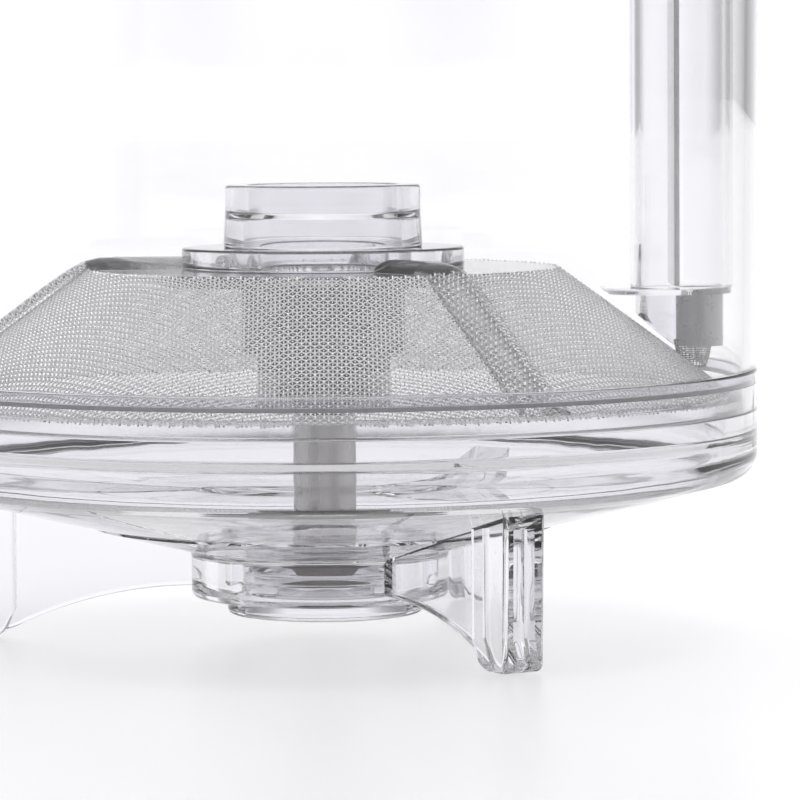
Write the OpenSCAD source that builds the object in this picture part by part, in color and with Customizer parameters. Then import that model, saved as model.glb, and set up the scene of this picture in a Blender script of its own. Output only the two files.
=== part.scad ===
// Compact counter-current protein skimmer: a clear vessel on three fin feet,
// with a woven-wire bubble diffuser cone, a side feed pipe, a level
// standpipe and a lift-off collection cup.
// Origin: on the floor, on the vessel's axis. +Z is up.
// The feed pipe stands on +X, and the outlet is on -X.

/* [Vessel] */
// Outer radius of the bowl's wall
bowl_r = 63.5; // [63.3:0.1:64]
// Wall thickness of the clear mouldings
wall = 2; // [1.8:0.1:2.2]
// Height of the joint between bowl and body
joint_z = 39.2; // [39:0.1:39.4]
// Height of the body's top flange face
body_top_z = 205; // [190:1:230]
// Draft of the body's wall, in degrees from upright
body_draft = 0.5; // [0:0.1:0.8]

/* [Base] */
// Outer radius of the boss under the bowl
boss_r = 19.7; // [18.5:0.1:21]
// Height of the boss's underside
boss_z = 5.8; // [5.6:0.1:6.2]
// Slope of the bowl's conical bottom, in degrees
cone_slope = 14.6; // [14:0.1:15.2]
// Outer reach of each fin foot from the axis
foot_r = 54.3; // [52:0.1:56]
// Width of a foot's post
post_w = 6.6; // [5:0.1:8]
// Thickness of a fin's web
web_w = 3.2; // [2.5:0.1:4]

/* [Diffuser] */
// Height of the diffuser frame's flat top
frame_top_z = 54; // [53.8:0.1:54.2]
// Outer radius of the frame's flat top
frame_top_r = 36; // [35.5:0.1:36.5]
// Radius where the mesh meets the frame's rim
mesh_foot_r = 59; // [58.8:0.1:59.1]
// Height of the mesh's foot
mesh_foot_z = 35.4; // [35.3:0.1:35.6]
// Thickness of the wire cloth
mesh_t = 0.5; // [0.4:0.1:0.8]

/* [Centre] */
// Outer radius of the collar's neck
neck_r = 14.3; // [14:0.1:14.6]
// Height of the collar's neck above the floor
neck_top_z = 66.2; // [64:0.1:70]
// Outer radius of the collar's flange
flange_r = 20.7; // [20:0.1:22]

/* [Feed] */
// Distance of the feed pipe from the axis
feed_x = 52.9; // [52.8:0.1:53]
// Outer radius of the feed pipe
feed_r = 7.8; // [7.6:0.1:7.8]
// Height of the feed inlet's axis
feed_z = 184; // [160:1:186]

/* [Outlet] */
// Height of the outlet's axis
outlet_z = 118; // [110:1:130]
// Height of the standpipe's rim
standpipe_top_z = 216; // [200:1:220]

/* [Cup] */
// Outer radius of the collection cup
cup_r = 52; // [48:0.5:56]
// Height of the cup's rim
cup_top_z = 300; // [295:1:310]

/* [Hidden] */
$fn = 96;
// Overlap that keeps cuts and joins from meeting in one plane
eps = 0.2;
// Radial clearance of a shaft that turns or slides in its bore
running = 0.06;
fin_angles = [-60, 60, 180];

clear_c = [0.86, 0.9, 0.92, 0.45];
steel_c = [0.62, 0.62, 0.62];
dark_c = [0.16, 0.17, 0.18];
grey_c = [0.55, 0.56, 0.57];
seal_c = [0.8, 0.81, 0.8];

// Bowl
corner_r = 4;
// Height where the boss meets the cone
boss_foot_z = boss_z + 6.8;
// Ledge inside the bowl that carries the diffuser's rim
rim_seat_z = 33.4;
ledge_in_r = 58.8;
// Tongue of the body in the groove of the bowl's rim, with a gasket under it
tongue_r = [61.95, 62.75];
tongue_z = joint_z - 1.4;
groove_play = 0.1;
bowl_gasket_t = 0.6;
bore_r = 12.2;
arc_r = 60;

// Body
spigot_r = bowl_r - wall - 0.2;
body_foot_r = bowl_r - 0.2;
body_flange_r = 72;
body_flange_t = 6;

// Stack above the body
gasket_t = 1;
cone_flange_z = body_top_z + gasket_t;
cone_flange_t = 3;
ring_z = cone_flange_z + cone_flange_t;
ring_t = 3;
screw_r = 1.5;
screw_pcd_r = 68.6;
screw_count = 6;
collar_r = 30;
shoulder_z = ring_z + 29;
collar_top_z = shoulder_z + 12;
cup_floor_z = shoulder_z + 0.1;

function cone_z(r) = boss_foot_z + (r - boss_r) * tan(cone_slope);
function body_r(z) = body_foot_r + (z - joint_z) * tan(body_draft);
function arc(cx, cz, r, a0, a1, n = 8) =
    [for (i = [0:n]) let (a = a0 + (a1 - a0) * i / n) [cx + r * cos(a), cz + r * sin(a)]];

// A tube standing on z0
module tube(r_out, r_in, z0, z1) {
    difference() {
        translate([0, 0, z0]) cylinder(r = r_out, h = z1 - z0);
        translate([0, 0, z0 - eps]) cylinder(r = r_in, h = z1 - z0 + 2 * eps);
    }
}

// A round bar along +X or +Y, from p0 to p1 on that axis
module bar_x(r, x0, x1) { translate([x0, 0, 0]) rotate([0, 90, 0]) cylinder(r = r, h = x1 - x0); }
module bar_y(r, y0, y1) { translate([0, y0, 0]) rotate([-90, 0, 0]) cylinder(r = r, h = y1 - y0); }

// ---------------------------------------------------------------- base
// Side view of one fin: a web under the cone with an arched lower edge
module fin_web_outline() {
    difference() {
        polygon([
            [boss_r - 1.5, boss_z + 1], [boss_r - 1.5, boss_foot_z + 1],
            [50, cone_z(50) + 1], [50, 0.4]
        ]);
        translate([boss_r, boss_z + 1.6 - arc_r]) circle(r = arc_r, $fn = 180);
    }
}

module fin_post_outline() {
    post_in = foot_r - 8.8;
    polygon(concat(
        arc(foot_r - 1.2, 1.2, 1.2, 0, -90, 6),
        arc(post_in + 4.2, 3.6, 3.6, -90, -150, 6),
        [[post_in, 4.2], [post_in, cone_z(post_in) + 1], [foot_r + 0.5, cone_z(foot_r) + 1]]
    ));
}

module base_bowl() {
    floor_t = 2.4;
    corner_z = cone_z(bowl_r) + 3.2;
    bowl = concat(
        [[bore_r, boss_z]],
        arc(boss_r - 0.8, boss_z + 0.8, 0.8, -90, 0, 4),
        [[boss_r, boss_foot_z]],
        arc(bowl_r - corner_r, corner_z, corner_r, cone_slope - 90, 0, 8),
        [[bowl_r, joint_z],
         [tongue_r[1] + groove_play, joint_z], [tongue_r[1] + groove_play, tongue_z - bowl_gasket_t],
         [tongue_r[0] - groove_play, tongue_z - bowl_gasket_t], [tongue_r[0] - groove_play, joint_z],
         [spigot_r + 0.1, joint_z], [spigot_r + 0.1, rim_seat_z], [ledge_in_r, rim_seat_z],
         [ledge_in_r, 30.2], [ledge_in_r - 1.2, 29.0]],
        arc(53.6, cone_z(53.6) + floor_t + 4, 4, 0, cone_slope - 90, 6),
        [[bore_r, cone_z(bore_r) + floor_t]]
    );
    color(clear_c) {
        rotate_extrude($fn = 180) polygon(bowl);
        for (a = fin_angles) rotate([0, 0, a]) {
            rotate([90, 0, 0]) translate([0, 0, -web_w / 2]) linear_extrude(web_w) fin_web_outline();
            rotate([90, 0, 0]) translate([0, 0, -post_w / 2]) linear_extrude(post_w) fin_post_outline();
        }
    }
}

// Quarter-turn plug that closes the boss, with a grip slot underneath
module drain_plug() {
    plug_r = bore_r - running;
    head_r = 14.4;
    head_z = 3.3;
    groove_z = 8.4;
    profile = concat(
        [[0, head_z]],
        arc(head_r - 0.8, head_z + 0.8, 0.8, -90, 0, 4),
        [[head_r, boss_z - 0.3], [plug_r, boss_z - 0.3], [plug_r, groove_z], [plug_r - 1.5, groove_z],
         [plug_r - 1.5, groove_z + 1.8], [plug_r, groove_z + 1.8], [plug_r, 12.4], [plug_r - 3, 12.4],
         [plug_r - 4.6, 6.2], [0, 6.2]]
    );
    color(clear_c) difference() {
        rotate_extrude() polygon(profile);
        translate([-9, -1.2, head_z - eps]) cube([18, 2.4, 1.4 + eps]);
    }
}

module drain_seal() {
    section_r = 0.72;
    color(dark_c) translate([0, 0, 9.3])
        rotate_extrude() translate([bore_r - running - section_r, 0]) circle(r = section_r, $fn = 24);
}

module bowl_gasket() {
    color(seal_c) tube(tongue_r[1], tongue_r[0], tongue_z - bowl_gasket_t, tongue_z);
}

// ---------------------------------------------------------------- body
module body_tube() {
    flange_z = body_top_z - body_flange_t;
    outline = [
        [body_foot_r - wall, joint_z], [tongue_r[0], joint_z], [tongue_r[0], tongue_z],
        [tongue_r[1], tongue_z], [tongue_r[1], joint_z], [body_foot_r, joint_z],
        [body_r(flange_z), flange_z], [body_flange_r - 1, flange_z],
        [body_flange_r, flange_z + 1], [body_flange_r, body_top_z], [body_r(body_top_z) - wall, body_top_z]
    ];
    color(clear_c) difference() {
        union() {
            rotate_extrude($fn = 180) polygon(outline);
            outlet_side() translate([0, 0, outlet_z]) bar_y(16, 60, 68.5);
            translate([0, 0, feed_z]) intersection() {
                bar_x(14, 60, 69);
                translate([0, 0, -20]) difference() {
                    cylinder(r = 80, h = 40);
                    translate([0, 0, -eps]) cylinder(r = body_r(feed_z) - wall + 0.5, h = 40 + 2 * eps);
                }
            }
        }
        outlet_side() translate([0, 0, outlet_z]) bar_y(10.2, 50, 75);
        translate([0, 0, feed_z]) bar_x(8.2, 50, 75);
        for (i = [0:screw_count - 1]) rotate([0, 0, 30 + i * 360 / screw_count])
            translate([screw_pcd_r, 0, flange_z - 4]) cylinder(r = screw_r + 0.1, h = 12);
    }
}

// ---------------------------------------------------------------- diffuser
mesh_top_r = frame_top_r - 1;
mesh_top_z = frame_top_z - 1;
mesh_slope = atan((mesh_top_z - mesh_foot_z) / (mesh_foot_r - mesh_top_r));

module screen_frame() {
    plate_t = 1.8;
    rib_w = 7.4;
    rib_h = 1.7;
    rib_top_z = frame_top_z + 1.9;
    shell_top = [mesh_top_r - 1.4, mesh_top_z - 0.8];
    shell_foot = [mesh_foot_r - 1.4, mesh_foot_z];
    rim = [
        [mesh_foot_r - 1.4, rim_seat_z], [spigot_r, rim_seat_z], [spigot_r, rim_seat_z + 2.1],
        [mesh_foot_r + 2, rim_seat_z + 2.1], [mesh_foot_r + 1, mesh_foot_z + 0.5],
        [mesh_foot_r - 1.4, mesh_foot_z + 0.5]
    ];
    top = concat(
        [[neck_r - 1.5, frame_top_z - plate_t], shell_top],
        arc(frame_top_r - 1.8, frame_top_z - 1.8, 1.8, 20, 90, 4),
        [[neck_r - 1.5, frame_top_z]]
    );
    // side view of a rib, which lies on the flat top and then on the cone
    rib = [
        [flange_r, frame_top_z - 1], [flange_r, rib_top_z], [mesh_top_r - 1, rib_top_z],
        [mesh_top_r + 1.8, frame_top_z + 0.4], [mesh_foot_r + 1, mesh_foot_z + rib_h],
        [mesh_foot_r + 1.6, mesh_foot_z - 0.2],
        [mesh_foot_r - 1.4, mesh_foot_z], shell_top
    ];
    color(clear_c) {
        rotate_extrude($fn = 180) polygon(rim);
        rotate_extrude($fn = 180) polygon(top);
        for (a = fin_angles) rotate([0, 0, a])
            rotate([90, 0, 0]) translate([0, 0, -rib_w / 2]) linear_extrude(rib_w) polygon(rib);
    }
}

// The wire cloth as a thin cone shell between the frame's top and rim
module screen_mesh() {
    back = mesh_t / sin(90 - mesh_slope);
    color(steel_c) rotate_extrude($fn = 180) polygon([
        [mesh_top_r - 1.4, mesh_top_z - 0.8], [mesh_foot_r - 1.4, mesh_foot_z],
        [mesh_foot_r - 1.4, mesh_foot_z - back], [mesh_top_r - 1.4, mesh_top_z - 0.8 - back]
    ]);
}

module collar_flange() {
    color(clear_c) tube(flange_r, neck_r - 1.5, frame_top_z, frame_top_z + 3.1);
}

// Socket neck: a thick upper band, a thinner wall and an inner step
module collar_neck() {
    base_z = frame_top_z + 3.1;
    step_z = neck_top_z - 4;
    color(clear_c) rotate_extrude() polygon([
        [neck_r - 2.6, base_z], [neck_r + 0.3, base_z], [neck_r, step_z], [neck_r, neck_top_z - 0.4],
        [neck_r - 0.4, neck_top_z], [neck_r - 3.4, neck_top_z], [neck_r - 3.4, step_z],
        [neck_r - 2.6, step_z - 1]
    ]);
}

// Stepped riser column under the collar, which hangs from the frame's top plate
riser_bore_r = 7;

module centre_riser() {
    top_z = frame_top_z + 3.1;
    shoulder = 41.5;
    color(clear_c) rotate_extrude() polygon([
        [riser_bore_r, 35], [4.6, 35], [4.6, 33], [9.8, 33], [9.8, shoulder], [12, shoulder], [12, top_z - 4],
        [neck_r - 1.5, top_z - 4], [neck_r - 1.5, top_z], [9.2, top_z], [riser_bore_r, top_z - 4]
    ]);
}

module riser_nozzle() {
    color(steel_c) rotate_extrude() polygon([
        [3.4, 13.4], [4.6, 13.4], [4.6, 35], [2.9, 36.4], [2.9, 50], [1.8, 50], [1.8, 35.8], [3.4, 34.2]
    ]);
}

// Tapered foot that steadies the nozzle above the plug
module nozzle_foot() {
    color([0.42, 0.39, 0.36]) rotate_extrude() polygon([
        [0, 7.2], [2.9, 7.2], [6.2, 11.4], [6.2, 12.2], [4.6, 13.4], [0, 13.4]
    ]);
}

// ---------------------------------------------------------------- feed
seat_z = 50.0;

// Feed pipe with a thin moulded web inside, which parts water from air
module feed_pipe() {
    z0 = seat_z + 0.8;
    z1 = feed_z - 8;
    web_x = -1.4;
    web_t = 0.7;
    web_half = 6.2;
    color(clear_c) translate([feed_x, 0, 0]) {
        tube(feed_r, feed_r - 1.6, z0, z1);
        translate([web_x - web_t / 2, -web_half, z0 + 0.4]) cube([web_t, 2 * web_half, z1 - z0 - 6]);
    }
}

// Round shelf that carries the feed pipe, with a web to the diffuser's rim
module feed_seat() {
    color(clear_c) difference() {
        union() {
            translate([feed_x - 2.5, 0, seat_z]) cylinder(r = 10, h = 0.8);
            translate([feed_x - 1.4, 0, 0]) tube(5.6, 4.2, 38.4, seat_z);
        }
        translate([feed_x + 2.6, 0, 30]) cylinder(r = 3.6, h = 40);
        translate([0, 0, 30]) difference() {
            cylinder(r = 80, h = 30);
            translate([0, 0, -eps]) cylinder(r = body_r(seat_z) - wall - 0.1, h = 31);
        }
        rotate_extrude($fn = 180) polygon([
            [0, 0], [mesh_foot_r + 1.2, 0], [mesh_foot_r + 1.2, mesh_foot_z + 0.6],
            [mesh_top_r + 3, mesh_top_z], [0, mesh_top_z]
        ]);
    }
}

module feed_foot() {
    color(grey_c) translate([feed_x + 2.6, 0, 0]) tube(3.6, 2.6, 42.2, seat_z + 0.8);
}

module foot_strainer() {
    color(steel_c) translate([feed_x + 2.6, 0, 0]) rotate_extrude() polygon([
        [0, 38.9], [1.9, 38.9], [2.6, 39.8], [3.0, 42.2], [2.4, 42.2], [2.1, 40.2], [1.6, 39.5], [0, 39.5]
    ]);
}

module feed_elbow() {
    color(dark_c) translate([0, 0, feed_z]) difference() {
        union() {
            translate([feed_x, 0, -14]) cylinder(r = 9.2, h = 14);
            translate([feed_x, 0, 0]) sphere(r = 9.2);
            bar_x(8.1, feed_x, 84);
        }
        translate([feed_x, 0, -14 - eps]) cylinder(r = feed_r, h = 6 + eps);
        translate([feed_x, 0, -10]) cylinder(r = 6.2, h = 10);
        translate([feed_x, 0, 0]) sphere(r = 6.2);
        bar_x(6.2, feed_x, 84 + eps);
    }
}

module feed_gasket() {
    color(seal_c) translate([0, 0, feed_z]) difference() {
        bar_x(12.5, 69, 70.2);
        bar_x(8.1, 68, 72);
    }
}

// Hexagonal nut with chamfered corners on both faces
module nut(af, t, bore) {
    chamfer = af * 0.07;
    difference() {
        intersection() {
            cylinder(r = af / sqrt(3), h = t, $fn = 6);
            rotate_extrude() polygon([
                [0, 0], [af / 2, 0], [af / 2 + chamfer, chamfer * 0.8],
                [af / 2 + chamfer, t - chamfer * 0.8], [af / 2, t], [0, t]
            ]);
        }
        translate([0, 0, -eps]) cylinder(r = bore, h = t + 2 * eps);
    }
}

module feed_nut() {
    color(dark_c) translate([70.2, 0, feed_z]) rotate([0, 90, 0]) nut(26, 6.5, 8.1);
}

// Venturi: a waisted tube that draws air into the feed through its throat
module venturi_body() {
    throat_x = 98;
    color(dark_c) translate([0, 0, feed_z]) difference() {
        union() {
            rotate([0, 90, 0]) rotate_extrude() polygon([
                [0, 77.5], [11.2, 77.5], [11.2, 88], [8.4, 93], [8.4, 103], [10.4, 106], [10.4, 108],
                [8, 109], [8, 124], [0, 124]
            ]);
            translate([throat_x, 0, 0]) cylinder(r = 5, h = 12.5);
        }
        bar_x(8.1, 77, 84);
        bar_x(6.2, 83, 88);
        translate([88, 0, 0]) rotate([0, 90, 0]) cylinder(r1 = 6.2, r2 = 4, h = 6);
        bar_x(4, 93.9, 102);
        translate([101.9, 0, 0]) rotate([0, 90, 0]) cylinder(r1 = 4, r2 = 6.2, h = 6);
        bar_x(6.2, 107.8, 125);
        translate([throat_x, 0, 2]) cylinder(r = 1.6, h = 12);
    }
}

// Air inlet with a side nipple and a seat for the needle knob
module air_inlet() {
    color(grey_c) translate([98, 0, feed_z + 12.5]) difference() {
        union() {
            cylinder(r = 4.4, h = 12);
            translate([0, 0, 6]) rotate([90, 0, 0]) cylinder(r = 1.9, h = 14);
            for (d = [8.5, 11]) translate([0, -d, 6]) rotate([90, 0, 0]) cylinder(r1 = 2.5, r2 =
                1.9, h = 2.2);
        }
        translate([0, 0, -eps]) cylinder(r = 1.6, h = 12 + 2 * eps);
        translate([0, 0, 6]) rotate([90, 0, 0]) cylinder(r = 1.1, h = 15);
    }
}

module air_knob() {
    color(dark_c) translate([98, 0, feed_z + 12.5]) difference() {
        union() {
            translate([0, 0, 8]) cylinder(r = 1.6 - running, h = 5);
            translate([0, 0, 12.4]) cylinder(r = 6.5, h = 8);
        }
        for (i = [0:11]) rotate([0, 0, i * 30]) translate([7.3, 0, 12]) cylinder(r = 1.3, h = 9, $fn = 24);
    }
}

// ---------------------------------------------------------------- outlet
stand_y = 110;

// The outlet's parts are drawn along +Y and turned to -X
module outlet_side() { rotate([0, 0, 90]) children(); }

module outlet_bulkhead() {
    color(dark_c) outlet_side() translate([0, 0, outlet_z]) difference() {
        union() {
            bar_y(14, 57.4, 60);
            bar_y(10.1, 59.8, 84);
        }
        bar_y(7.6, 57, 85);
    }
}

module outlet_gasket() {
    color(seal_c) outlet_side() translate([0, 0, outlet_z]) difference() {
        bar_y(14.5, 68.5, 70);
        bar_y(10.1, 68, 71);
    }
}

module outlet_nut() {
    color(dark_c) outlet_side() translate([0, 70, outlet_z]) rotate([-90, 0, 0]) nut(29, 6.5, 10.1);
}

module outlet_elbow() {
    elbow_r = 12.5;
    color(dark_c) outlet_side() translate([0, 0, outlet_z]) difference() {
        union() {
            bar_y(elbow_r, 77.5, stand_y);
            translate([0, stand_y, 0]) sphere(r = elbow_r);
            translate([0, stand_y, 0]) cylinder(r = elbow_r, h = 20);
        }
        bar_y(10.1, 77, 84);
        bar_y(7.6, 83, stand_y);
        translate([0, stand_y, 0]) sphere(r = 7.6);
        translate([0, stand_y, 0]) cylinder(r = 7.6, h = 21);
        translate([0, stand_y, 8]) cylinder(r = 10.1, h = 13);
    }
}

module standpipe() {
    color(clear_c) outlet_side() translate([0, stand_y, 0]) tube(10.1, 8.4, outlet_z + 8, standpipe_top_z);
}

// Strap that ties the standpipe to the clamp ring
module pipe_bracket() {
    strap_z = ring_z;
    tab_y = body_flange_r + 0.3;
    color(dark_c) outlet_side() difference() {
        union() {
            translate([0, stand_y, strap_z - 6]) cylinder(r = 13, h = 9);
            translate([-6, tab_y, strap_z]) cube([12, stand_y - tab_y, ring_t]);
            translate([-6, body_flange_r - 6, ring_z + ring_t]) cube([12, 10, 2.4]);
            translate([-6, tab_y, ring_z]) cube([12, 3, ring_t + 2.4]);
        }
        translate([0, stand_y, strap_z - 7]) cylinder(r = 10.1, h = 12);
    }
}

// Sleeve that slides on the standpipe and sets the water level
module level_sleeve() {
    z0 = standpipe_top_z - 2;
    color(clear_c) outlet_side() translate([0, stand_y, 0]) difference() {
        union() {
            translate([0, 0, z0]) cylinder(r = 12.2, h = 34);
            translate([0, 0, z0 + 28]) cylinder(r = 14, h = 6);
        }
        translate([0, 0, z0 - eps]) cylinder(r = 10.1 + running, h = 35);
        for (i = [0:3]) rotate([0, 0, 45 + i * 90]) translate([-1.5, 0, z0 + 29]) cube([3, 20, 6]);
    }
}

// ---------------------------------------------------------------- top
module screw_holes(z0, h) {
    for (i = [0:screw_count - 1]) rotate([0, 0, 30 + i * 360 / screw_count])
        translate([screw_pcd_r, 0, z0]) cylinder(r = screw_r + 0.1, h = h);
}

module lid_gasket() {
    color(seal_c) tube(64.6, 62.6, body_top_z, cone_flange_z);
}

module neck_cone() {
    t = 2.4;
    outline = [
        [61, cone_flange_z], [body_flange_r, cone_flange_z], [body_flange_r, ring_z], [62.6, ring_z],
        [collar_r + 0.6, shoulder_z - 2.4], [36, shoulder_z - 2.4], [36, shoulder_z],
        [collar_r, shoulder_z], [collar_r, collar_top_z - 0.6],
        [collar_r - 0.6, collar_top_z], [collar_r - t, collar_top_z],
        [collar_r - t, shoulder_z - 3], [61 - t, ring_z - 0.5]
    ];
    color(clear_c) difference() {
        rotate_extrude($fn = 180) polygon(outline);
        screw_holes(cone_flange_z - 1, 6);
        translate([0, 0, shoulder_z + 5]) tube(collar_r + 1, collar_r - 1.6, 0, 2);
    }
}

module clamp_ring() {
    color(dark_c) difference() {
        tube(body_flange_r, 64.4, ring_z, ring_z + ring_t);
        screw_holes(ring_z - 1, 6);
    }
}

module lid_screws() {
    head_z = ring_z + ring_t;
    tail_z = body_top_z - body_flange_t - 6;
    color(grey_c) for (i = [0:screw_count - 1]) rotate([0, 0, 30 + i * 360 / screw_count])
        translate([screw_pcd_r, 0, 0]) {
            translate([0, 0, tail_z]) cylinder(r = screw_r, h = head_z - tail_z + eps);
            difference() {
                translate([0, 0, head_z]) cylinder(r = 3.3, h = 3.4);
                translate([0, 0, head_z + 1.6]) cylinder(r = 1.5, h = 2, $fn = 6);
            }
        }
}

module lid_nuts() {
    nut_t = 4;
    color(grey_c) for (i = [0:screw_count - 1]) rotate([0, 0, 30 + i * 360 / screw_count])
        translate([screw_pcd_r, 0, 0])
            tube(3.4, screw_r, body_top_z - body_flange_t - nut_t, body_top_z - body_flange_t);
}

module cup_seal() {
    section_r = 0.98;
    color(dark_c) translate([0, 0, shoulder_z + 6])
        rotate_extrude() translate([collar_r + 0.4 - section_r, 0]) circle(r = section_r, $fn = 24);
}

// ---------------------------------------------------------------- cup
hub_in_r = collar_r + 0.4 + running;
tube_r = 26;

module collection_cup() {
    outline = [
        [hub_in_r, cup_floor_z], [cup_r - 1.5, cup_floor_z], [cup_r, cup_floor_z + 1.5], [cup_r, cup_top_z],
        [cup_r - 2.4, cup_top_z], [cup_r - 2.4, cup_floor_z + 4], [cup_r - 4, cup_floor_z + 2.4],
        [hub_in_r + 2.6, cup_floor_z + 2.4], [hub_in_r + 2.6, cup_floor_z + 14],
        [tube_r + 1.6, cup_floor_z + 16.4], [tube_r, cup_floor_z + 16.4],
        [tube_r, cup_floor_z + 12.4], [hub_in_r, cup_floor_z + 12.4]
    ];
    color(clear_c) difference() {
        rotate_extrude($fn = 180) polygon(outline);
        translate([0, 0, cup_floor_z + 8]) bar_x(4, cup_r - 6, cup_r + 2);
    }
}

module foam_tube() {
    z0 = cup_floor_z + 12.4;
    top_z = cup_top_z - 14;
    color(clear_c) rotate_extrude() polygon([
        [tube_r - 2.2, z0], [tube_r, z0], [tube_r, top_z - 1], [tube_r - 1, top_z], [tube_r - 2.2, top_z]
    ]);
}

// Drain cock on the cup: spigot, plug housing and hose tail
module cup_drain() {
    x0 = cup_r - 2.4;
    color(dark_c) translate([0, 0, cup_floor_z + 8]) difference() {
        union() {
            bar_x(4, x0, cup_r + 2);
            bar_x(6, cup_r, cup_r + 3);
            bar_x(4, cup_r + 2, cup_r + 12);
            bar_x(5, cup_r + 15, cup_r + 18);
            bar_x(3.6, cup_r + 12, cup_r + 27);
            translate([cup_r + 11, 0, -6]) cylinder(r = 6, h = 12);
        }
        bar_x(2.4, x0 - eps, cup_r + 28);
        translate([cup_r + 11, 0, -4]) cylinder(r = 4, h = 11);
    }
}

module cock_key() {
    color(grey_c) translate([cup_r + 11, 0, cup_floor_z + 8]) difference() {
        union() {
            translate([0, 0, -3.6]) cylinder(r = 4 - running, h = 12);
            translate([0, 0, 6.4]) cylinder(r = 5.4, h = 2.6);
            translate([-2, -9, 7]) cube([4, 18, 5]);
        }
        bar_x(2.4, -8, 8);
    }
}

module cup_lid() {
    color(dark_c) difference() {
        rotate_extrude($fn = 180) polygon([
            [0, cup_top_z + 0.3], [46, cup_top_z + 0.3], [46, cup_top_z - 4], [48.4, cup_top_z - 4],
            [48.4, cup_top_z + 0.3], [cup_r + 0.8, cup_top_z + 0.3], [cup_r + 0.8, cup_top_z + 2],
            [cup_r - 0.4, cup_top_z + 3.4], [40, cup_top_z + 4], [0, cup_top_z + 4]
        ]);
        for (a = [45, 165, 285]) rotate([0, 0, a]) translate([24, 0, cup_top_z]) cylinder(r = 1.5, h = 6);
    }
}

module lid_seal() {
    color(seal_c) tube(48.9, 48.4, cup_top_z - 2.6, cup_top_z - 1.2);
}

module lid_knob() {
    color(dark_c) rotate_extrude() polygon(concat(
        [[0, cup_top_z + 4], [7, cup_top_z + 4], [6, cup_top_z + 8]],
        arc(9, cup_top_z + 13, 3, -60, 90, 8),
        [[0, cup_top_z + 16]]
    ));
}

base_bowl();
drain_plug();
drain_seal();
bowl_gasket();
body_tube();
screen_frame();
screen_mesh();
collar_flange();
collar_neck();
centre_riser();
riser_nozzle();
nozzle_foot();
feed_pipe();
feed_seat();
feed_foot();
foot_strainer();
feed_elbow();
feed_gasket();
feed_nut();
venturi_body();
air_inlet();
air_knob();
outlet_bulkhead();
outlet_gasket();
outlet_nut();
outlet_elbow();
standpipe();
pipe_bracket();
level_sleeve();
lid_gasket();
neck_cone();
clamp_ring();
lid_screws();
lid_nuts();
cup_seal();
collection_cup();
foam_tube();
cup_drain();
cock_key();
cup_lid();
lid_seal();
lid_knob();
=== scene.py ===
# Looks for the clear protein skimmer: rebuilt clear mouldings, woven wire cloth,
# procedural plastics, steel and rubber, a pale floor and a soft studio.
import math

import bmesh
import bpy
from mathutils import Matrix, Vector


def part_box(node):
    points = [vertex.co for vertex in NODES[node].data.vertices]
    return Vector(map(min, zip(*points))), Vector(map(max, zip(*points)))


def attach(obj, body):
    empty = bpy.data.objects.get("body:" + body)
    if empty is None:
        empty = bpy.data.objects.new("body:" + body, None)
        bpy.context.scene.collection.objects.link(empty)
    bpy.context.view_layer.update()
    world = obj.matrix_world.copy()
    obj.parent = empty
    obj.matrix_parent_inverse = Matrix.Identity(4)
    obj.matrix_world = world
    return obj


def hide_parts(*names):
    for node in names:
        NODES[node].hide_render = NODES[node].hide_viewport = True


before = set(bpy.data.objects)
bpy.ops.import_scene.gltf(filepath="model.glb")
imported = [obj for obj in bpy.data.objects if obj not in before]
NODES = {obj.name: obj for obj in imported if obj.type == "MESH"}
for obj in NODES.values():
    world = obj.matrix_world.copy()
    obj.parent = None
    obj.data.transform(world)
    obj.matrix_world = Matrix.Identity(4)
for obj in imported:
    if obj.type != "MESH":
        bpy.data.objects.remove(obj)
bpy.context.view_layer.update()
scene = bpy.context.scene

MM = 0.001
SEGMENTS = 192
FIN_ANGLES = (-60, 60, 180)


def top_mm(node):
    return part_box(node)[1].z / MM


def bottom_mm(node):
    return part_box(node)[0].z / MM


def reach_mm(node):
    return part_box(node)[1].x / MM


def middle_mm(node, axis):
    low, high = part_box(node)
    return (low[axis] + high[axis]) / 2 / MM


# ------------------------------------------------------------------ materials
def new_material(name):
    mat = bpy.data.materials.new(name)
    mat.use_nodes = True
    tree = mat.node_tree
    shader = tree.nodes["Principled BSDF"]
    return mat, tree, shader


def noise(tree, scale, detail=4.0, stretch=(1, 1, 1)):
    """Noise in object space, as a socket."""
    coords = tree.nodes.new("ShaderNodeTexCoord")
    mapping = tree.nodes.new("ShaderNodeMapping")
    mapping.inputs["Scale"].default_value = stretch
    tex = tree.nodes.new("ShaderNodeTexNoise")
    tex.inputs["Scale"].default_value = scale
    tex.inputs["Detail"].default_value = detail
    tree.links.new(coords.outputs["Object"], mapping.inputs["Vector"])
    tree.links.new(mapping.outputs["Vector"], tex.inputs["Vector"])
    return tex.outputs["Fac"]


def ramp(tree, socket, low, high, start=0.3, end=0.7):
    node = tree.nodes.new("ShaderNodeValToRGB")
    node.color_ramp.elements[0].position = start
    node.color_ramp.elements[0].color = (*low, 1)
    node.color_ramp.elements[1].position = end
    node.color_ramp.elements[1].color = (*high, 1)
    tree.links.new(socket, node.inputs["Fac"])
    return node.outputs["Color"]


def spread(tree, socket, low, high):
    node = tree.nodes.new("ShaderNodeMapRange")
    node.inputs["From Min"].default_value = 0.3
    node.inputs["From Max"].default_value = 0.7
    node.inputs["To Min"].default_value = low
    node.inputs["To Max"].default_value = high
    tree.links.new(socket, node.inputs["Value"])
    return node.outputs["Result"]


def bump(tree, shader, socket, strength, distance):
    node = tree.nodes.new("ShaderNodeBump")
    node.inputs["Strength"].default_value = strength
    node.inputs["Distance"].default_value = distance
    tree.links.new(socket, node.inputs["Height"])
    tree.links.new(node.outputs["Normal"], shader.inputs["Normal"])


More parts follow.
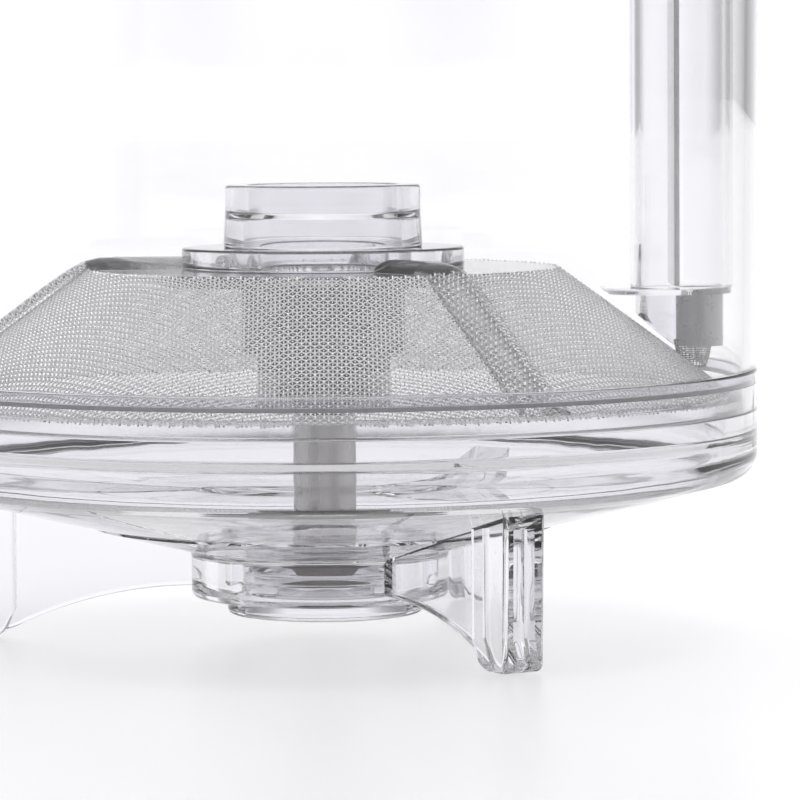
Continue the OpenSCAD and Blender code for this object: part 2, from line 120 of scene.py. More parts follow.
def clear_plastic(name, tint, ripple, ripple_scale, stretch=(1, 1, 1), haze=0.0, ior=1.49):
    """Clear moulding with a faint cool tint, sink ripples and polish marks; haze frosts its surface."""
    mat, tree, shader = new_material(name)
    shader.inputs["Transmission Weight"].default_value = 1.0
    shader.inputs["IOR"].default_value = ior
    colour = ramp(tree, noise(tree, 60), tuple(c * 0.985 for c in tint), tint)
    tree.links.new(colour, shader.inputs["Base Color"])
    tree.links.new(spread(tree, noise(tree, 900), haze, haze + 0.035), shader.inputs["Roughness"])
    bump(tree, shader, noise(tree, ripple_scale, 2.0, stretch), ripple, 0.0004)
    return mat


def plastic(name, low, high, rough, translucent=0.0):
    """Moulded plastic with a fine spark-eroded grain, opaque unless translucent is raised."""
    mat, tree, shader = new_material(name)
    shader.inputs["Transmission Weight"].default_value = translucent
    tree.links.new(ramp(tree, noise(tree, 140), low, high), shader.inputs["Base Color"])
    tree.links.new(spread(tree, noise(tree, 700), rough - 0.06, rough + 0.08), shader.inputs["Roughness"])
    bump(tree, shader, noise(tree, 2600, 3.0), 0.25, 0.00012)
    return mat


def metal(name, low, high, rough, stretch):
    """Drawn stainless steel with brushed streaks."""
    mat, tree, shader = new_material(name)
    shader.inputs["Metallic"].default_value = 1.0
    streaks = noise(tree, 500, 4.0, stretch)
    tree.links.new(ramp(tree, streaks, low, high), shader.inputs["Base Color"])
    tree.links.new(spread(tree, streaks, rough - 0.08, rough + 0.1), shader.inputs["Roughness"])
    bump(tree, shader, streaks, 0.1, 0.00005)
    return mat


MATERIALS = {
    "clear": clear_plastic("clear_body", (0.984, 0.984, 0.992), 0.02, 30, (1, 1, 0.3)),
    "clear_thick": clear_plastic("clear_thick", (0.885, 0.884, 0.905), 0.2, 90, (1, 1, 0.5)),
    "hazy": clear_plastic("clear_hazy", (0.985, 0.985, 0.99), 0.1, 90, haze=0.1, ior=1.22),
    "smoky": clear_plastic("smoky_clear", (0.24, 0.235, 0.23), 0.1, 60),
    "dark": plastic("dark_plastic", (0.018, 0.019, 0.021), (0.032, 0.033, 0.036), 0.42),
    "grey": plastic("grey_plastic", (0.30, 0.30, 0.305), (0.37, 0.37, 0.375), 0.38),
    "seal": plastic("seal_rubber", (0.012, 0.012, 0.012), (0.026, 0.026, 0.025), 0.6),
    "silicone": plastic("clear_silicone", (0.66, 0.66, 0.66), (0.76, 0.76, 0.76), 0.45, 0.75),
    "pale": plastic("pale_plastic", (0.86, 0.86, 0.87), (0.93, 0.93, 0.94), 0.3, 0.5),
    "foot": plastic("foot_rubber", (0.20, 0.175, 0.15), (0.27, 0.24, 0.21), 0.55),
    "fine_wire": metal("fine_wire_steel", (0.20, 0.195, 0.19), (0.36, 0.35, 0.34), 0.32, (1, 1, 1)),
    "wire": metal("wire_steel", (0.74, 0.74, 0.73), (0.92, 0.915, 0.91), 0.27, (1, 1, 1)),
    "steel": metal("drawn_steel", (0.50, 0.49, 0.48), (0.68, 0.67, 0.66), 0.28, (1, 1, 0.05)),
}


# ------------------------------------------------------------------ mesh helpers
def add_object(name, mesh, material):
    obj = bpy.data.objects.new(name, mesh)
    scene.collection.objects.link(obj)
    mesh.materials.clear()
    mesh.materials.append(material)
    return obj


def rounded(points, steps=5):
    """Profile with corners (r, z, fillet) blended into arcs; a fillet of 0 stays sharp."""
    out = []
    count = len(points)
    for i, (r, z, fillet) in enumerate(points):
        here = Vector((r, z))
        if fillet <= 0:
            out.append(here)
            continue
        back = Vector(points[i - 1][:2]) - here
        ahead = Vector(points[(i + 1) % count][:2]) - here
        reach = min(fillet, back.length * 0.48, ahead.length * 0.48)
        a = here + back.normalized() * reach
        b = here + ahead.normalized() * reach
        for k in range(steps + 1):
            t = k / steps
            out.append(a * (1 - t) ** 2 + here * 2 * t * (1 - t) + b * t * t)
    return out


def lathe_mesh(name, profile, segments=SEGMENTS, centre=(0, 0), smooth_deg=35):
    """Closed ring or solid made by turning a closed (r, z) profile in mm about an upright axis."""
    bm = bmesh.new()
    rings = []
    for r, z in profile:
        if r < 1e-6:
            rings.append([bm.verts.new((centre[0] * MM, centre[1] * MM, z * MM))])
            continue
        ring = []
        for s in range(segments):
            a = 2 * math.pi * s / segments
            x, y = centre[0] + r * math.cos(a), centre[1] + r * math.sin(a)
            ring.append(bm.verts.new((x * MM, y * MM, z * MM)))
        rings.append(ring)
    for i, ring in enumerate(rings):
        other = rings[(i + 1) % len(rings)]
        if len(ring) == 1 and len(other) == 1:
            continue
        for s in range(segments):
            t = (s + 1) % segments
            if len(ring) == 1:
                bm.faces.new((ring[0], other[t], other[s]))
            elif len(other) == 1:
                bm.faces.new((ring[s], ring[t], other[0]))
            else:
                bm.faces.new((ring[s], ring[t], other[t], other[s]))
    return finish_mesh(name, bm, smooth_deg)


def finish_mesh(name, bm, smooth_deg=35):
    bmesh.ops.recalc_face_normals(bm, faces=bm.faces)
    mesh = bpy.data.meshes.new(name)
    bm.to_mesh(mesh)
    bm.free()
    for poly in mesh.polygons:
        poly.use_smooth = True
    mesh.set_sharp_from_angle(angle=math.radians(smooth_deg))
    return mesh


def prism_mesh(name, outline, width, angle, bevel=0.4, segments=3):
    """Upright plate: an (r, z) outline in mm, width thick, turned to an angle about the axis."""
    bm = bmesh.new()
    turn = Matrix.Rotation(math.radians(angle), 4, "Z")
    sides = []
    for y in (-width / 2, width / 2):
        sides.append([bm.verts.new(turn @ Vector((p[0] * MM, y * MM, p[1] * MM))) for p in outline])
    count = len(outline)
    bm.faces.new(sides[0])
    bm.faces.new(list(reversed(sides[1])))
    for i in range(count):
        j = (i + 1) % count
        bm.faces.new((sides[0][i], sides[1][i], sides[1][j], sides[0][j]))
    bmesh.ops.recalc_face_normals(bm, faces=bm.faces)
    if bevel:
        edges = [e for e in bm.edges if e.calc_face_angle(0) > math.radians(30)]
        bmesh.ops.bevel(bm, geom=edges, offset=bevel * MM, segments=segments, profile=0.5, affect="EDGES")
    return finish_mesh(name, bm)


def even_normals(obj):
    """Weights the shading normals by face area, so long walls stay optically straight."""
    mod = obj.modifiers.new("normals", "WEIGHTED_NORMAL")
    mod.mode = "FACE_AREA"
    mod.weight = 60
    mod.keep_sharp = True
    bpy.context.view_layer.objects.active = obj
    bpy.ops.object.modifier_apply(modifier=mod.name)


def boolean(target, others, operation):
    """Applies an exact boolean of the other meshes on the target object."""
    for mesh in others:
        tool = bpy.data.objects.new("tool", mesh)
        scene.collection.objects.link(tool)
        mod = target.modifiers.new("join", "BOOLEAN")
        mod.operation = operation
        mod.solver = "EXACT"
        mod.object = tool
        bpy.context.view_layer.objects.active = target
        bpy.ops.object.modifier_apply(modifier=mod.name)
        bpy.data.objects.remove(tool)
    for poly in target.data.polygons:
        poly.use_smooth = True
    target.data.set_sharp_from_angle(angle=math.radians(32))


def stand_in(obj, node, body):
    """Evens the piece's shading normals, hangs it on the body and hides the node that it is shown instead
    of.
    """
    even_normals(obj)
    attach(obj, body)
    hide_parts(node)


# ------------------------------------------------------------------ vessel sizes in mm
BOWL_R = reach_mm("base_bowl")
JOINT_Z = top_mm("base_bowl")
BODY_TOP = top_mm("body_tube")
BODY_FOOT = bottom_mm("body_tube")
SPIGOT_R = reach_mm("screen_frame")
SEAT_Z = bottom_mm("screen_frame")
GROOVE_Z = bottom_mm("bowl_gasket")
TONGUE_IN, TONGUE_OUT = 61.95, reach_mm("bowl_gasket")
COLLAR_TOP = top_mm("collar_neck")
FRAME_TOP = bottom_mm("collar_flange")
FLANGE_R = reach_mm("collar_flange")
NECK_R = reach_mm("collar_neck") - 0.3
BOSS_R = 19.7
BOSS_Z = 5.8
BOSS_BORE_R = 12.2
LEDGE_R = 58.8
SLOPE = math.tan(math.radians(14.6))
DRAFT = math.tan(math.radians(0.5))
SCREWS = 6
SCREW_CIRCLE_R = 68.6
SCREW_HOLE_R = 1.6


def cone_z(r):
    """Height of the bowl's underside at a radius."""
    return BOSS_Z + 6.8 + (r - BOSS_R) * SLOPE


# ------------------------------------------------------------------ base bowl with boss and fins
def arc_points(cx, cz, r, a0, a1, n):
    """Points on an arc from angle a0 to a1 in degrees."""
    return [(cx + r * math.cos(math.radians(a0 + (a1 - a0) * i / n)),
             cz + r * math.sin(math.radians(a0 + (a1 - a0) * i / n))) for i in range(n + 1)]


def fin_outlines():
    """Outlines of a fin's arched web and of the post it ends in, both sunk a little into the bowl."""
    sink, arch_r, arch_z = 0.9, 60, BOSS_Z + 1.6
    inner, post_in = BOSS_R - 1.2, 45.5
    arch = arc_points(BOSS_R, arch_z - arch_r, arch_r, 90, 62.4, 14)
    web = arch + [(50.0, cone_z(50) + sink), (inner, cone_z(BOSS_R) + sink), (inner, arch_z)]
    post = arc_points(53.1, 1.2, 1.2, 0, -90, 5) + arc_points(49.7, 3.6, 3.6, -90, -150, 6)
    post += [(post_in, 4.2), (post_in, cone_z(post_in) + sink), (54.8, cone_z(54.3) + sink)]
    return web, post


def make_bowl():
    web, post = fin_outlines()
    corner = cone_z(BOWL_R) + 3.2
    profile = [(BOSS_BORE_R, BOSS_Z, 0.3), (BOSS_R, BOSS_Z, 1.2), (BOSS_R, cone_z(BOSS_R), 1.0),
               (26, cone_z(26) - 0.02, 0), (34, cone_z(34), 0), (34.3, cone_z(34) + 0.35, 0)]
    profile += [(45, cone_z(45) + 0.02, 0), (54, cone_z(54), 0)]
    profile += [(r, z, 0) for r, z in arc_points(BOWL_R - 4, corner, 4, -75.4, 0, 10)]
    groove_in, groove_out, bore = TONGUE_IN - 0.1, TONGUE_OUT + 0.1, SPIGOT_R + 0.1
    profile += [(BOWL_R, JOINT_Z, 0.3), (groove_out, JOINT_Z, 0.1), (groove_out, GROOVE_Z, 0.1),
                (groove_in, GROOVE_Z, 0.1), (groove_in, JOINT_Z, 0.1), (bore, JOINT_Z, 0.15),
                (bore, SEAT_Z, 0.2), (LEDGE_R, SEAT_Z, 0.4), (LEDGE_R, 30.2, 0.4), (57.6, 29.0, 0.5)]
    profile += [(r, z, 0) for r, z in arc_points(53.6, cone_z(53.6) + 6.4, 4, 0, -75.4, 8)]
    profile += [(BOSS_BORE_R, cone_z(BOSS_BORE_R) + 2.4, 0.4)]
    bowl = add_object("base_bowl_clear", lathe_mesh("bowl", rounded(profile)), MATERIALS["clear_thick"])
    fins = []
    for angle in FIN_ANGLES:
        fins.append(prism_mesh("web", web, 3.2, angle, 0.5))
        fins.append(prism_mesh("post", post, 6.6, angle, 0.7))
    boolean(bowl, fins, "UNION")
    stand_in(bowl, "base_bowl", "vessel")


# ------------------------------------------------------------------ body tube
def cylinder_mesh(radius, start, direction, length, segments=64):
    """Bar in mm, from a start point along a direction."""
    bm = bmesh.new()
    bmesh.ops.create_cone(bm, cap_ends=True, segments=segments, radius1=radius * MM, radius2=radius * MM,
                          depth=length * MM)
    axis = Vector(direction).normalized()
    place = Matrix.Translation(Vector(start) * MM + axis * length * MM / 2)
    turn = Vector((0, 0, 1)).rotation_difference(axis).to_matrix().to_4x4()
    bmesh.ops.transform(bm, matrix=place @ turn, verts=bm.verts)
    return finish_mesh("bar", bm)


def make_body():
    """Drafted tube with a flange on top, a pad and a port at the feed and at the outlet, and screw holes."""
    def outer(z):
        return foot_r + (z - JOINT_Z) * DRAFT

    foot_r = BOWL_R - 0.2
    flange = BODY_TOP - 6
    profile = [(BOWL_R - 2.2, JOINT_Z, 0.2), (TONGUE_IN, JOINT_Z, 0), (TONGUE_IN, BODY_FOOT, 0.15),
               (TONGUE_OUT, BODY_FOOT, 0.15), (TONGUE_OUT, JOINT_Z, 0), (foot_r, JOINT_Z, 0.3),
               (outer(flange), flange, 1.2), (71.5, flange, 0.8), (72, BODY_TOP, 0.6),
               (outer(BODY_TOP) - 2, BODY_TOP, 0.4)]
    body = add_object("body_tube_clear", lathe_mesh("body", rounded(profile)), MATERIALS["clear"])
    feed_z, outlet_z = middle_mm("feed_nut", 2), middle_mm("outlet_nut", 2)
    pads = [cylinder_mesh(14, (63, 0, feed_z), (1, 0, 0), 6),
            cylinder_mesh(16, (-60, 0, outlet_z), (-1, 0, 0), 8.5)]
    boolean(body, pads, "UNION")
    holes = [cylinder_mesh(8.2, (50, 0, feed_z), (1, 0, 0), 25),
             cylinder_mesh(10.2, (-50, 0, outlet_z), (-1, 0, 0), 25)]
    holes += screw_holes(flange - 3, 12)
    boolean(body, holes, "DIFFERENCE")
    stand_in(body, "body_tube", "vessel")


# ------------------------------------------------------------------ diffuser frame and wire cloth
MESH_TOP = (34.8, FRAME_TOP - 0.4)
MESH_FOOT = (59.0, FRAME_TOP - 18.1)
WIRE_PITCH = 0.6
WIRE_R = 0.155
WEAVE_RISE = 0.95  # how far a wire swings over and under, in wire radii
WIRE_SIDES = 4


def rib_mesh(angle):
    """Half-round rib, hollow beneath: from the flat top it bends over the edge and down the cone."""
    drops = ((FLANGE_R - 0.4, 0.5), (30, 0.5), (32.6, 0.6), (34.4, 1.0), (36.4, 2.1), (40, 4.6), (48, 10.5),
             (56, 16.4), (59.6, 18.9))
    path = [Vector((r, FRAME_TOP - drop)) for r, drop in drops]
    turn = Matrix.Rotation(math.radians(angle), 3, "Z")
    bm = bmesh.new()
    angles = [math.radians(180 * k / 12) for k in range(13)]
    section = [(3.7 * math.cos(a), 2.3 * math.sin(a)) for a in angles]
    section += [(2.1 * math.cos(a), 0.8 * math.sin(a) - 0.3) for a in reversed(angles)]
    steps = len(section)
    rings = []
    for i, p in enumerate(path):
        tangent = (path[min(i + 1, len(path) - 1)] - path[max(i - 1, 0)]).normalized()
        up = Vector((-tangent.y, tangent.x))
        rings.append([bm.verts.new(turn @ Vector((p.x + up.x * rise, side, p.y + up.y * rise)) * MM)
                      for side, rise in section])
    for a, b in zip(rings, rings[1:]):
        for k in range(steps):
            j = (k + 1) % steps
            bm.faces.new((a[k], a[j], b[j], b[k]))
    bm.faces.new(rings[0])
    bm.faces.new(list(reversed(rings[-1])))
    bmesh.ops.recalc_face_normals(bm, faces=bm.faces)
    return finish_mesh("rib", bm, 50)


def make_frame():
    """Rim that sits in the bowl, flat top and three ribs, joined into one moulding."""
    rim = [(57.6, SEAT_Z, 0.2), (SPIGOT_R, SEAT_Z, 0.25), (SPIGOT_R, SEAT_Z + 2.1, 0.3),
           (61.0, SEAT_Z + 2.1, 0.2), (60.0, SEAT_Z + 2.5, 0.3), (57.6, SEAT_Z + 2.5, 0.2)]
    top = [(12.8, FRAME_TOP - 1.8, 0), (33.0, FRAME_TOP - 1.8, 0.2), (34.9, FRAME_TOP - 1.0, 0.3),
           (34.3, FRAME_TOP, 0.5), (12.8, FRAME_TOP, 0)]
    rim_obj = add_object("screen_frame_clear", lathe_mesh("rim", rounded(rim)), MATERIALS["hazy"])
    parts = [lathe_mesh("top", rounded(top))] + [rib_mesh(a) for a in FIN_ANGLES]
    boolean(rim_obj, parts, "UNION")
    stand_in(rim_obj, "screen_frame", "vessel")


def cloth_z(r):
    t = (r - MESH_TOP[0]) / (MESH_FOOT[0] - MESH_TOP[0])
    return MESH_TOP[1] + t * (MESH_FOOT[1] - MESH_TOP[1])


def wires(bm, along_x, sector):
    """Wires of one direction of a plain weave, pressed over the cone, within a sector of azimuth."""
    r_in, r_out = MESH_TOP[0] - 0.5, MESH_FOOT[0] + 1.0
    lines = int(r_out / WIRE_PITCH) + 1
    side = Vector((0, 1, 0)) if along_x else Vector((1, 0, 0))
    for j in range(-lines, lines + 1):
        across = j * WIRE_PITCH
        run = []
        steps = int(2 * r_out / WIRE_PITCH * 2)
        for i in range(steps + 1):
            along = -r_out + i * WIRE_PITCH / 2
            r = math.hypot(along, across)
            x, y = (along, across) if along_x else (across, along)
            azimuth = math.degrees(math.atan2(y, x)) % 360
            if r_in < r < r_out and sector[0] <= azimuth < sector[1]:
                phase = math.pi * (along / WIRE_PITCH + j) + (0 if along_x else math.pi)
                run.append(Vector((x, y, cloth_z(r) + WIRE_R * WEAVE_RISE * math.cos(phase))))
            elif run:
                add_wire(bm, run, side, WIRE_R)
                run = []
        if run:
            add_wire(bm, run, side, WIRE_R)


def add_wire(bm, run, across, radius):
    """Capped wire along a run of points; across is a direction that the run never follows."""
    if len(run) < 3:
        return
    rings = []
    for i, p in enumerate(run):
        tangent = (run[min(i + 1, len(run) - 1)] - run[max(i - 1, 0)]).normalized()
        up = across.cross(tangent).normalized()
        side = tangent.cross(up).normalized()
        ring = []
        for k in range(WIRE_SIDES):
            a = 2 * math.pi * (k + 0.5) / WIRE_SIDES
            ring.append(bm.verts.new((p + side * radius * math.cos(a) + up * radius * math.sin(a)) * MM))
        rings.append(ring)
    for a, b in zip(rings, rings[1:]):
        for k in range(WIRE_SIDES):
            j = (k + 1) % WIRE_SIDES
            bm.faces.new((a[k], a[j], b[j], b[k]))
    bm.faces.new(rings[0])
    bm.faces.new(list(reversed(rings[-1])))


def make_cloth():
    """Woven cloth in pieces that meet under the ribs and on the +X side."""
    for i, sector in enumerate(((0, 60), (60, 180), (180, 300), (300, 360))):
        bm = bmesh.new()
        wires(bm, True, sector)
        wires(bm, False, sector)
        obj = add_object("wire_cloth_%d" % i, finish_mesh("cloth", bm, 80), MATERIALS["wire"])
        stand_in(obj, "screen_mesh", "vessel")


# ------------------------------------------------------------------ collar
def make_collar():
    """Flat flange and the stepped neck that stands on it."""
    bore, base, step = 12.8, FRAME_TOP + 3.1, COLLAR_TOP - 4
    flange = [(bore, FRAME_TOP, 0), (FLANGE_R, FRAME_TOP, 0.3), (FLANGE_R, base, 0.45), (bore, base, 0)]
    obj = add_object("collar_flange_clear", lathe_mesh("flange", rounded(flange)), MATERIALS["clear_thick"])
    stand_in(obj, "collar_flange", "vessel")
    inner, lip = NECK_R - 2.6, NECK_R - 3.4
    neck = [(inner, base, 0.2), (NECK_R + 0.3, base, 0.4), (NECK_R, step, 0), (NECK_R, COLLAR_TOP, 0.5),
            (lip, COLLAR_TOP, 0.5), (lip, step, 0.4), (inner, step - 1, 0.3)]
    obj = add_object("collar_neck_clear", lathe_mesh("neck", rounded(neck)), MATERIALS["clear_thick"])
    stand_in(obj, "collar_neck", "vessel")


# ------------------------------------------------------------------ feed pipe and strainer
def make_feed():
    """Feed pipe and the thin web inside it that parts water from air."""
    x, low, high = middle_mm("feed_pipe", 0), bottom_mm("feed_pipe"), top_mm("feed_pipe")
    pipe = [(6.2, low, 0.2), (7.8, low, 0.3), (7.8, high, 0.3), (6.2, high, 0.2)]
    obj = add_object("feed_pipe_clear", lathe_mesh("pipe", rounded(pipe), 128, (x, 0)), MATERIALS["clear"])
    stand_in(obj, "feed_pipe", "vessel")
    web = [(x - 1.75, low + 0.4), (x - 1.05, low + 0.4), (x - 1.05, high - 5.6), (x - 1.75, high - 5.6)]
    divider = add_object("feed_pipe_web", prism_mesh("web", web, 12.0, 0, 0.1, 2), MATERIALS["smoky"])
    stand_in(divider, "feed_pipe", "vessel")


def make_strainer():
    """Thimble of fine wire: upright wires crossed by rings, each ring in two halves."""
    wire_r, uprights, rings, ring_step, half = 0.09, 26, 11, 0.3, 20
    x = middle_mm("foot_strainer", 0) - 1.0
    low, high = bottom_mm("foot_strainer"), top_mm("foot_strainer") + 0.9
    side_line = [(2.9, high), (2.65, high - 1.2), (2.45, high - 2.2), (1.9, low + 0.2), (0.6, low + 0.15)]
    bm = bmesh.new()
    for k in range(uprights):
        a = 2 * math.pi * k / uprights
        upright = [Vector((x + r * math.cos(a), r * math.sin(a), z)) for r, z in side_line]
        add_wire(bm, upright, Vector((0, 1, 0)), wire_r)
    for i in range(rings):
        z = high - 0.15 - i * ring_step
        r = 2.95 - (high - z) * 0.22 - max(0.0, (high - z) - 2.2) * 0.45
        angles = [2 * math.pi * k / (2 * half) for k in range(2 * half + 1)]
        ring = [Vector((x + r * math.cos(a), r * math.sin(a), z)) for a in angles]
        for part in (ring[:half + 1], ring[half:]):
            add_wire(bm, part, Vector((0, 0, 1)), wire_r)
    obj = add_object("foot_strainer_wires", finish_mesh("strainer", bm, 80), MATERIALS["fine_wire"])
    stand_in(obj, "foot_strainer", "vessel")


# ------------------------------------------------------------------ turned parts
def turned(node, body, material, profile, cuts=(), centre=(0, 0)):
    """Turned stand-in for a node, with its holes and slots cut."""
    mesh = lathe_mesh(node, rounded(profile), SEGMENTS, centre)
    obj = add_object(node + "_turned", mesh, MATERIALS[material])
    if cuts:
        boolean(obj, cuts, "DIFFERENCE")
    stand_in(obj, node, body)


def make_plug():
    """Flanged plug with a seal groove, hollow above, and a coin slot below."""
    low, r, flange_r, flange_z = bottom_mm("drain_plug"), 12.14, 14.4, BOSS_Z - 0.3
    groove_r = r - 1.5
    profile = [(0, low, 0), (flange_r, low, 0.8), (flange_r, flange_z, 0.3), (r, flange_z, 0.1),
               (r, 8.4, 0.1), (groove_r, 8.4, 0.1), (groove_r, 10.2, 0.1), (r, 10.2, 0.1), (r, 12.4, 0.3),
               (r - 3, 12.4, 0.4), (r - 4.6, 6.2, 0.8), (0, 6.2, 0)]
    slot = prism_mesh("slot", [(-9, low - 0.2), (9, low - 0.2), (9, low + 1.4), (-9, low + 1.4)], 2.4, 0, 0)
    turned("drain_plug", "plug", "clear_thick", profile, cuts=[slot])


def make_riser():
    """Stepped dark riser with a clear ring on top."""
    low, high = bottom_mm("centre_riser"), top_mm("centre_riser")
    turned("centre_riser", "vessel", "smoky", [
        (7, low + 2, 0.3), (4.65, low + 2, 0.1), (4.65, low, 0.1), (9.8, low, 0.5), (9.8, 41.5, 0.3),
        (12, 41.5, 0.4), (12, high - 4, 0.2), (7, high - 4, 0.2)])
    turned("centre_riser", "vessel", "clear", [
        (9.2, high - 4, 0.1), (12.75, high - 4, 0.1), (12.75, high, 0.1), (9.2, high, 0.3)])


def make_nozzle_foot():
    """Tapered rubber foot, widest near its top."""
    low, high, r = bottom_mm("nozzle_foot"), top_mm("nozzle_foot"), 7.0
    profile = [(0, low, 0), (3.4, low, 0.3), (r, low + 4, 0.5), (r, low + 5, 0.4), (4.6, high, 0.3),
               (0, high, 0)]
    turned("nozzle_foot", "vessel", "foot", profile)


def screw_holes(low, length):
    holes = []
    for i in range(SCREWS):
        a = math.radians(30 + 360 / SCREWS * i)
        foot = (SCREW_CIRCLE_R * math.cos(a), SCREW_CIRCLE_R * math.sin(a), low)
        holes.append(cylinder_mesh(SCREW_HOLE_R, foot, (0, 0, 1), length, 24))
    return holes


def make_neck_cone():
    low, ring, high = bottom_mm("neck_cone"), bottom_mm("clamp_ring"), top_mm("neck_cone")
    shoulder = high - 12
    turned("neck_cone", "vessel", "clear", [
        (61, low, 0.3), (72, low, 0.4), (72, ring, 0.4), (62.6, ring, 0.8), (30.6, shoulder - 2.4, 0.5),
        (36, shoulder - 2.4, 0.4), (36, shoulder, 0.4), (30, shoulder, 0.2), (30, shoulder + 5, 0.1),
        (28.4, shoulder + 5, 0.1), (28.4, shoulder + 7, 0.1), (30, shoulder + 7, 0.1), (30, high, 0.6),
        (27.6, high, 0.4), (27.6, shoulder - 3, 1.5), (58.6, ring - 0.5, 1.2)], cuts=screw_holes(low - 1, 6))


FOAM_TUBE_R = 26.0


def make_cup():
    """Cup whose hub drops over the neck and holds the foam tube, with a port for the drain."""
    low, high = bottom_mm("collection_cup"), top_mm("collection_cup")
    hub, socket = 30.46, FOAM_TUBE_R + 0.03
    turned("collection_cup", "cup", "clear", [
        (hub, low, 0.2), (52, low, 1.8), (52, high, 0.8), (49.6, high, 0.8), (49.6, low + 2.4, 2.2),
        (hub + 2.6, low + 2.4, 1.0), (hub + 2.6, low + 14, 0.8), (FOAM_TUBE_R + 1.6, low + 16.4, 0.6),
        (socket, low + 16.4, 0.1), (socket, low + 12.4, 0.1), (hub, low + 12.4, 0.2)],
        cuts=[cylinder_mesh(4, (46, 0, low + 8), (1, 0, 0), 8, 32)])


def make_foam_tube():
    low, high, inner = bottom_mm("foam_tube"), top_mm("foam_tube"), FOAM_TUBE_R - 2.2
    turned("foam_tube", "cup", "clear", [
        (inner, low, 0.2), (FOAM_TUBE_R, low, 0.2), (FOAM_TUBE_R, high, 1.0), (inner, high, 0.4)])


def make_lid():
    """Skirted lid with three vent holes."""
    low, high = bottom_mm("cup_lid"), top_mm("cup_lid")
    holes = []
    for a in (45, 165, 285):
        x, y = 24 * math.cos(math.radians(a)), 24 * math.sin(math.radians(a))
        holes.append(cylinder_mesh(1.5, (x, y, high - 5), (0, 0, 1), 8, 32))
    turned("cup_lid", "lid", "dark", [
        (0, high - 3.7, 0), (46, high - 3.7, 0.5), (46, low, 0.3), (48.4, low, 0.5), (48.4, high - 3.7, 0.3),
        (52.8, high - 3.7, 0.4), (52.8, high - 2, 0.6), (51.6, high - 0.6, 0.8), (40, high, 2.0),
        (0, high, 0)], holes)


def make_lid_knob():
    low, high = bottom_mm("lid_knob"), top_mm("lid_knob")
    turned("lid_knob", "lid", "dark", [
        (0, low, 0), (7, low, 0.4), (5.9, low + 5, 2.5), (12, low + 7.5, 2.2), (11.4, high - 0.3, 2.0),
        (0, high, 0)])


def make_clamp_ring():
    low, high, inner, outer = bottom_mm("clamp_ring"), top_mm("clamp_ring"), 64.4, 72
    ring = [(inner, low, 0.3), (outer, low, 0.3), (outer, high, 0.7), (inner, high, 0.7)]
    turned("clamp_ring", "vessel", "dark", ring, screw_holes(low - 1, 6))


STANDPIPE_X = middle_mm("standpipe", 0)


def make_standpipe():
    low, high, inner, outer = bottom_mm("standpipe"), top_mm("standpipe"), 8.4, 10.05
    profile = [(inner, low, 0.3), (outer, low, 0.3), (outer, high, 0.5), (inner, high, 0.5)]
    turned("standpipe", "vessel", "clear", profile, centre=(STANDPIPE_X, 0))


def spin(mesh, degrees):
    """Turns a mesh in place about the standpipe's axis."""
    there, back = Matrix.Translation((STANDPIPE_X * MM, 0, 0)), Matrix.Translation((-STANDPIPE_X * MM, 0, 0))
    mesh.transform(there @ Matrix.Rotation(math.radians(degrees), 4, "Z") @ back)


def make_level_sleeve():
    """Sleeve over the standpipe, with four notches in its wide top."""
    x, low = STANDPIPE_X, bottom_mm("level_sleeve")
    notch = [(x, low + 29), (x + 20, low + 29), (x + 20, low + 35), (x, low + 35)]
    cuts = [prism_mesh("notch", notch, 3, 0, 0)]
    spin(cuts[0], 45)
    for i in (1, 2, 3):
        extra = cuts[0].copy()
        spin(extra, 90 * i)
        cuts.append(extra)
    turned("level_sleeve", "sleeve", "clear", [
        (10.16, low, 0.3), (12.2, low, 0.5), (12.2, low + 28, 0.8), (14, low + 28, 0.5), (14, low + 34, 0.6),
        (10.16, low + 34, 0.4)], cuts=cuts, centre=(x, 0))


make_plug()
make_riser()
make_nozzle_foot()
make_neck_cone()
make_cup()
make_foam_tube()
make_lid()
make_lid_knob()
make_clamp_ring()
make_standpipe()
make_level_sleeve()
make_bowl()
make_body()
make_frame()
make_cloth()
make_collar()
make_feed()
make_strainer()

# ------------------------------------------------------------------ carried-over CAD nodes
CARRIED = {
    "clear_thick": ("feed_seat",),
    "dark": ("feed_elbow", "feed_nut", "venturi_body", "air_knob", "outlet_bulkhead", "outlet_nut",
             "outlet_elbow", "pipe_bracket", "cup_drain"),
    "grey": ("air_inlet", "cock_key"),
    "pale": ("feed_foot",),
    "seal": ("cup_seal",),
    "clear": ("drain_seal",),
    "silicone": ("bowl_gasket", "feed_gasket", "outlet_gasket", "lid_gasket", "lid_seal"),
    "steel": ("lid_screws", "lid_nuts", "riser_nozzle"),
}
for finish, names in CARRIED.items():
    for node_name in names:
        mesh = NODES[node_name].data
        mesh.materials.clear()
        mesh.materials.append(MATERIALS[finish])


# ------------------------------------------------------------------ studio
def make_floor():
    """Wide pale floor that glows a little, as a lit white sweep does."""
    bm = bmesh.new()
    bmesh.ops.create_grid(bm, x_segments=1, y_segments=1, size=6)
    mesh = finish_mesh("floor", bm)
    mat, tree, shader = new_material("studio_floor")
    colour = ramp(tree, noise(tree, 3), (0.33, 0.33, 0.335), (0.36, 0.36, 0.365))
    tree.links.new(colour, shader.inputs["Base Color"])
    tree.links.new(spread(tree, noise(tree, 8), 0.30, 0.36), shader.inputs["Roughness"])
    shader.inputs["Specular IOR Level"].default_value = 0.12
    shader.inputs["Emission Color"].default_value = (0.98, 0.975, 0.985, 1)
    shader.inputs["Emission Strength"].default_value = 0.60
    floor = add_object("studio_floor", mesh, mat)
    floor.location.z = -0.0002


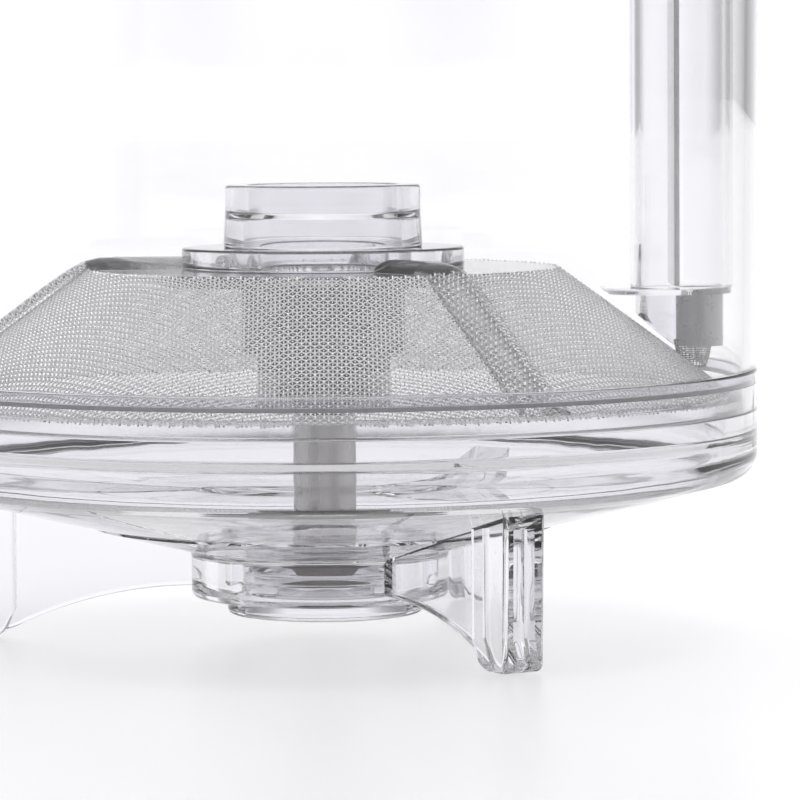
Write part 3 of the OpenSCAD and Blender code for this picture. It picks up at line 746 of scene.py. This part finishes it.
def make_world():
    """White sweep behind, grey flags on both sides of it, soft side boxes and a dim room in front."""
    world = bpy.data.worlds.new("studio")
    scene.world = world
    world.use_nodes = True
    tree = world.node_tree
    back = tree.nodes["Background"]
    coords = tree.nodes.new("ShaderNodeTexCoord")
    split = tree.nodes.new("ShaderNodeSeparateXYZ")
    tree.links.new(coords.outputs["Generated"], split.inputs["Vector"])
    side = tree.nodes.new("ShaderNodeMath")
    side.operation = "ABSOLUTE"
    tree.links.new(split.outputs["X"], side.inputs[0])
    flags = level_ramp(tree, side.outputs[0], (
        (0.0, 1.0), (0.26, 1.0), (0.4, 0.5), (0.55, 0.28), (0.72, 0.4), (0.86, 0.8), (1.0, 0.8)))
    depth = tree.nodes.new("ShaderNodeMapRange")
    depth.inputs["From Min"].default_value = -1.0
    tree.links.new(split.outputs["Y"], depth.inputs["Value"])
    room = level_ramp(tree, depth.outputs["Result"], ((0.0, 0.42), (0.12, 0.6), (0.4, 1.0), (1.0, 1.0)))
    both = tree.nodes.new("ShaderNodeMixRGB")
    both.blend_type = "MULTIPLY"
    both.inputs["Fac"].default_value = 1.0
    tree.links.new(flags, both.inputs["Color1"])
    tree.links.new(room, both.inputs["Color2"])
    tree.links.new(both.outputs["Color"], back.inputs["Color"])
    back.inputs["Strength"].default_value = 1.16


def level_ramp(tree, socket, stops):
    """Grey levels with a slight cool cast, as (position, level) stops."""
    node = tree.nodes.new("ShaderNodeValToRGB")
    elements = node.color_ramp.elements
    elements[0].position, elements[1].position = stops[0][0], stops[-1][0]
    for position, _ in stops[1:-1]:
        elements.new(position)
    for element, (_, level) in zip(elements, stops):
        element.color = (level * 0.995, level * 0.99, level, 1)
    tree.links.new(socket, node.inputs["Fac"])
    return node.outputs["Color"]


def area_light(name, place, target, size, power):
    data = bpy.data.lights.new(name, "AREA")
    data.shape = "RECTANGLE"
    data.size, data.size_y = size
    data.energy = power
    light = bpy.data.objects.new(name, data)
    light.location = place
    light.rotation_euler = (Vector(target) - Vector(place)).to_track_quat("-Z", "Y").to_euler()
    scene.collection.objects.link(light)


def make_camera():
    """Long lens in front of the vessel's foot, looking slightly down and just right of the axis."""
    distance, height = 0.645, 0.0803
    pitch, yaw, roll = math.radians(4.07), math.radians(0.99), math.radians(0.36)
    data = bpy.data.cameras.new("camera")
    data.sensor_width = 36
    data.lens = 198
    data.clip_start = 0.01
    camera = bpy.data.objects.new("camera", data)
    camera.location = (0, -distance, height)
    aim = Matrix.Rotation(-yaw, 4, "Z") @ Matrix.Rotation(math.pi / 2 - pitch, 4, "X")
    camera.rotation_euler = (aim @ Matrix.Rotation(-roll, 4, "Z")).to_euler()
    scene.collection.objects.link(camera)
    scene.camera = camera


make_floor()
make_world()
area_light("top_softbox", (-0.1, 0.1, 1.1), (0, 0, 0.1), (1.2, 1.2), 5)
make_camera()
scene.view_settings.view_transform = "Standard"
scene.cycles.max_bounces = 24
scene.cycles.transmission_bounces = 24
scene.cycles.glossy_bounces = 8
scene.cycles.use_denoising = True
